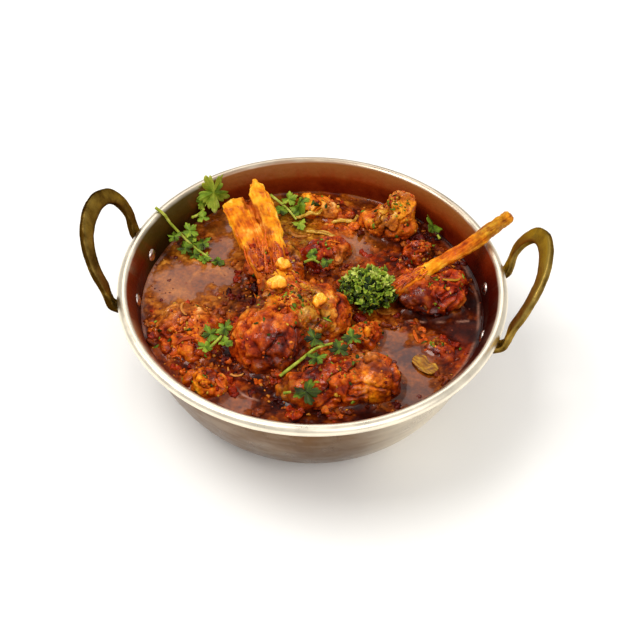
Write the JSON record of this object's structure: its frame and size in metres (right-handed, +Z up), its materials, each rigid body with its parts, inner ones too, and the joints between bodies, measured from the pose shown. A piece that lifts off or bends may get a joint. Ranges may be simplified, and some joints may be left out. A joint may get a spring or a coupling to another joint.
{
  "type": "bowl of goat curry",
  "caption": "Goat curry on the bone in red gravy, topped with cilantro, ginger and garlic, in a small round steel karahi with brass loop handles.",
  "frame": {"origin": "centre of the karahi's flat base, on the surface it stands on", "axes": "+X towards the handle beside the rib bone, +Y away from the eater, +Z up"},
  "size_m": [0.1767, 0.1506, 0.0802],
  "materials": {
    "steel": "polished rim, satin sides, stained by gravy inside",
    "brass": "aged, satin",
    "rivet_steel": "bright",
    "gravy": "wet, oily red-brown gravy",
    "meat": "wet braised meat under spiced gravy",
    "bone": "wet bone stained orange",
    "cilantro": "fresh leaf",
    "garlic": "soft cooked garlic",
    "ginger": "cooked ginger and onion"
  },
  "bodies": {
    "root": {"cilantro_leaf_rim": "cilantro", "cilantro_left": "cilantro", "cilantro_middle": "cilantro", "cilantro_sprig_back": "cilantro", "cilantro_sprig_front": "cilantro", "cilantro_sprig_left": "cilantro", "cilantro_tuft": "cilantro", "garlic_back": "garlic", "garlic_middle": "garlic", "garlic_right": "garlic", "ginger_back": "ginger", "ginger_middle": "ginger", "ginger_right": "ginger", "gravy": "gravy", "handle_left": "brass", "handle_right": "brass", "karahi": "steel", "leaf_front": "cilantro", "leaf_right_back": "cilantro", "meat_back": "meat", "meat_back_right": "meat", "meat_front": "meat", "meat_front_left": "meat", "meat_front_small": "meat", "meat_left": "meat", "meat_middle": "meat", "meat_neck": "meat", "meat_rib": "meat", "meat_right_low": "meat", "meat_right_small": "meat", "meat_shank": "meat", "onion_right": "ginger", "rib_bone": "bone", "rivet_left_back": "rivet_steel", "rivet_left_front": "rivet_steel", "rivet_right_back": "rivet_steel", "rivet_right_front": "rivet_steel", "shank_bone": "bone"}
  },
  "joints": []
}
